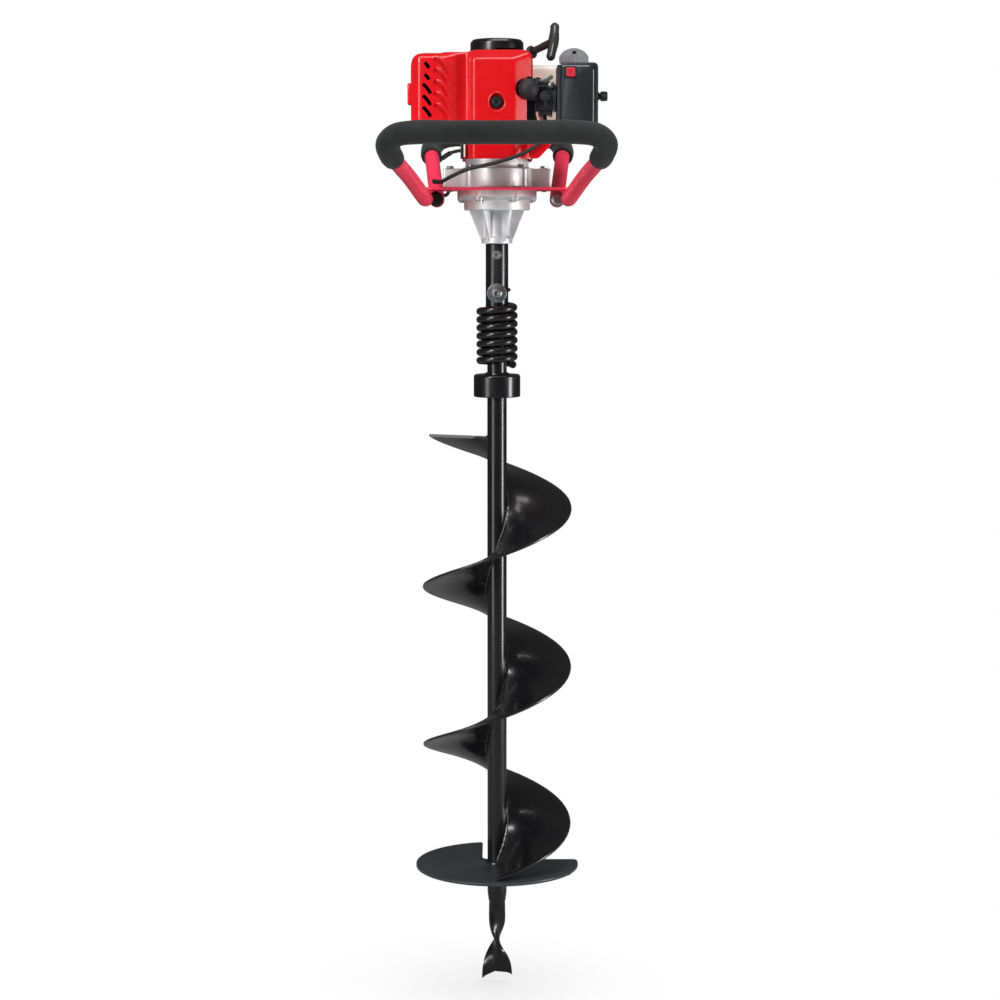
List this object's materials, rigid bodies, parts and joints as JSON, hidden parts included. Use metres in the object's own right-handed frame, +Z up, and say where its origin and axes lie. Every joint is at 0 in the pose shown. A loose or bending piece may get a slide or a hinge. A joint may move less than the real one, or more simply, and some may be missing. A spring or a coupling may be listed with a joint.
{
  "type": "ice fishing auger",
  "caption": "Petrol ice auger with a twin-handle powerhead, gearcase, wind-up spring and a screw bit with a cutter disc and fishtail pilot.",
  "frame": {"origin": "on the bit's axis, level with the lowest tip of the pilot", "axes": "+Z up along the bit's axis to the engine, -Y to the front handlebar, +X to the air filter"},
  "size_m": [0.295, 0.5457, 1.2879],
  "materials": {
    "cover_red": "glossy moulded",
    "frame_red": "semi-gloss powder coat",
    "foam": "closed-cell foam, matt",
    "cast_aluminium": "as cast",
    "black_paint": "gloss paint",
    "slate_paint": "semi-gloss paint",
    "steel": "machined",
    "zinc": "zinc plated",
    "dark_plastic": "textured moulded",
    "rubber": "matt",
    "tank_plastic": "translucent moulded",
    "cap_grey": "moulded",
    "paper": "pleated paper",
    "button_red": "moulded"
  },
  "bodies": {
    "powerhead": {"recoil_housing": "black_paint", "carburettor_body": "slate_paint", "output_bearing": "steel", "spark_plug": "steel", "lug_bolt_left": "zinc", "lug_bolt_right": "zinc", "cover_screw": "zinc", "gearcase_lower": "cast_aluminium", "gearcase_upper": "cast_aluminium", "crankcase": "cast_aluminium", "cylinder": "cast_aluminium", "oil_seal": "rubber", "throttle_cable": "rubber", "spark_boot": "rubber", "frame_plate": "frame_red", "front_handlebar": "frame_red", "rear_handlebar": "frame_red", "front_grip": "foam", "rear_grip_left": "foam", "rear_grip_right": "foam", "throttle_housing": "dark_plastic", "muffler": "dark_plastic", "intake_manifold": "dark_plastic", "air_filter_base": "dark_plastic", "air_filter_cover": "dark_plastic", "engine_cover": "cover_red", "exhaust_outlet": "cover_red", "fuel_tank": "tank_plastic", "air_filter_element": "paper"},
    "output": {"output_shaft": "steel", "output_gear": "steel", "socket_tube": "black_paint", "socket_bolt": "zinc", "socket_washer": "zinc", "windup_spring": "black_paint"},
    "bit": {"pilot_point": "black_paint", "auger_pole": "black_paint", "depth_collar": "black_paint", "auger_flight": "black_paint", "cutter_disc": "slate_paint", "cutter_blade_1": "steel", "cutter_blade_2": "steel", "blade_bolt_1": "zinc", "blade_bolt_2": "zinc"},
    "layshaft_body": {"layshaft": "steel"},
    "drum": {"clutch_drum": "steel"},
    "crank": {"crankshaft": "steel", "flywheel": "cast_aluminium"},
    "shoe_1": {"clutch_shoe_1": "steel"},
    "shoe_2": {"clutch_shoe_2": "steel"},
    "piston_body": {"piston": "cast_aluminium"},
    "pull": {"starter_handle": "rubber", "starter_rope": "rubber"},
    "pulley": {"starter_pulley": "dark_plastic"},
    "trigger": {"throttle_trigger": "dark_plastic"},
    "choke": {"choke_lever": "dark_plastic"},
    "primer": {"primer_bulb": "rubber"},
    "tank_cap": {"fuel_cap": "cap_grey"},
    "cover_knob": {"air_cover_knob": "dark_plastic"},
    "stop_button": {"stop_switch": "button_red"}
  },
  "joints": [
    {"name": "output_spin", "type": "hinge", "parent": "powerhead", "child": "output", "pos_m": [0, 0, 1.07], "axis": [0, 0, 1], "continuous": true},
    {"name": "layshaft_spin", "type": "hinge", "parent": "powerhead", "child": "layshaft_body", "pos_m": [0, 0.024, 1.07], "axis": [0, 0, 1], "continuous": true},
    {"name": "drum_spin", "type": "hinge", "parent": "powerhead", "child": "drum", "pos_m": [0, 0, 1.1], "axis": [0, 0, 1], "continuous": true},
    {"name": "bit_windup", "type": "hinge", "parent": "output", "child": "bit", "pos_m": [0, 0, 0.88], "axis": [0, 0, 1], "range_deg": [-30, 30], "stiffness_Nm_per_rad": 84, "deforming": ["windup_spring"]},
    {"name": "crank_spin", "type": "hinge", "parent": "powerhead", "child": "crank", "pos_m": [0, 0, 1.16], "axis": [0, 0, 1], "continuous": true},
    {"name": "clutch_shoe_1_slide", "type": "slide", "parent": "crank", "child": "shoe_1", "axis": [1, 0, 0], "range_m": [0, 0.0012], "stiffness_N_per_m": 3000},
    {"name": "clutch_shoe_2_slide", "type": "slide", "parent": "crank", "child": "shoe_2", "axis": [-1, 0, 0], "range_m": [0, 0.0012], "stiffness_N_per_m": 3000},
    {"name": "piston_slide", "type": "slide", "parent": "powerhead", "child": "piston_body", "axis": [0, -1, 0], "range_m": [0, 0.034]},
    {"name": "starter_pull", "type": "slide", "parent": "powerhead", "child": "pull", "axis": [0.6769, -0.6769, 0.289], "range_m": [0, 0.6], "stiffness_N_per_m": 20, "springref_m": -0.1, "deforming": ["starter_rope"]},
    {"name": "starter_pulley_spin", "type": "hinge", "parent": "powerhead", "child": "pulley", "pos_m": [0, 0, 1.26], "axis": [0, 0, -1], "range_deg": [0, 1325]},
    {"name": "throttle_press", "type": "hinge", "parent": "powerhead", "child": "trigger", "pos_m": [-0.027, 0.2325, 1.151], "axis": [0, 0, 1], "range_deg": [0, 11], "stiffness_Nm_per_rad": 0.3},
    {"name": "choke_turn", "type": "hinge", "parent": "powerhead", "child": "choke", "pos_m": [0.0615, -0.08, 1.188], "axis": [0, 1, 0], "range_deg": [0, 70]},
    {"name": "primer_push", "type": "slide", "parent": "powerhead", "child": "primer", "axis": [0, 1, 0], "range_m": [0, 0.005], "stiffness_N_per_m": 500},
    {"name": "fuel_cap_turn", "type": "hinge", "parent": "powerhead", "child": "tank_cap", "pos_m": [0.103, 0.07, 1.25], "axis": [0, 0, 1], "range_deg": [0, 360]},
    {"name": "cover_knob_turn", "type": "hinge", "parent": "powerhead", "child": "cover_knob", "pos_m": [0.13, -0.06, 1.19], "axis": [1, 0, 0], "range_deg": [0, 360]},
    {"name": "stop_push", "type": "slide", "parent": "powerhead", "child": "stop_button", "axis": [0, 1, 0], "range_m": [0, 0.003], "stiffness_N_per_m": 400}
  ],
  "couplings": [
    {"joint": "layshaft_spin", "follows": "output_spin", "ratio": -5},
    {"joint": "drum_spin", "follows": "output_spin", "ratio": 25},
    {"joint": "clutch_shoe_2_slide", "follows": "clutch_shoe_1_slide", "ratio": 1},
    {"joint": "starter_pulley_spin", "follows": "starter_pull", "rad_per_m": 38.462}
  ]
}
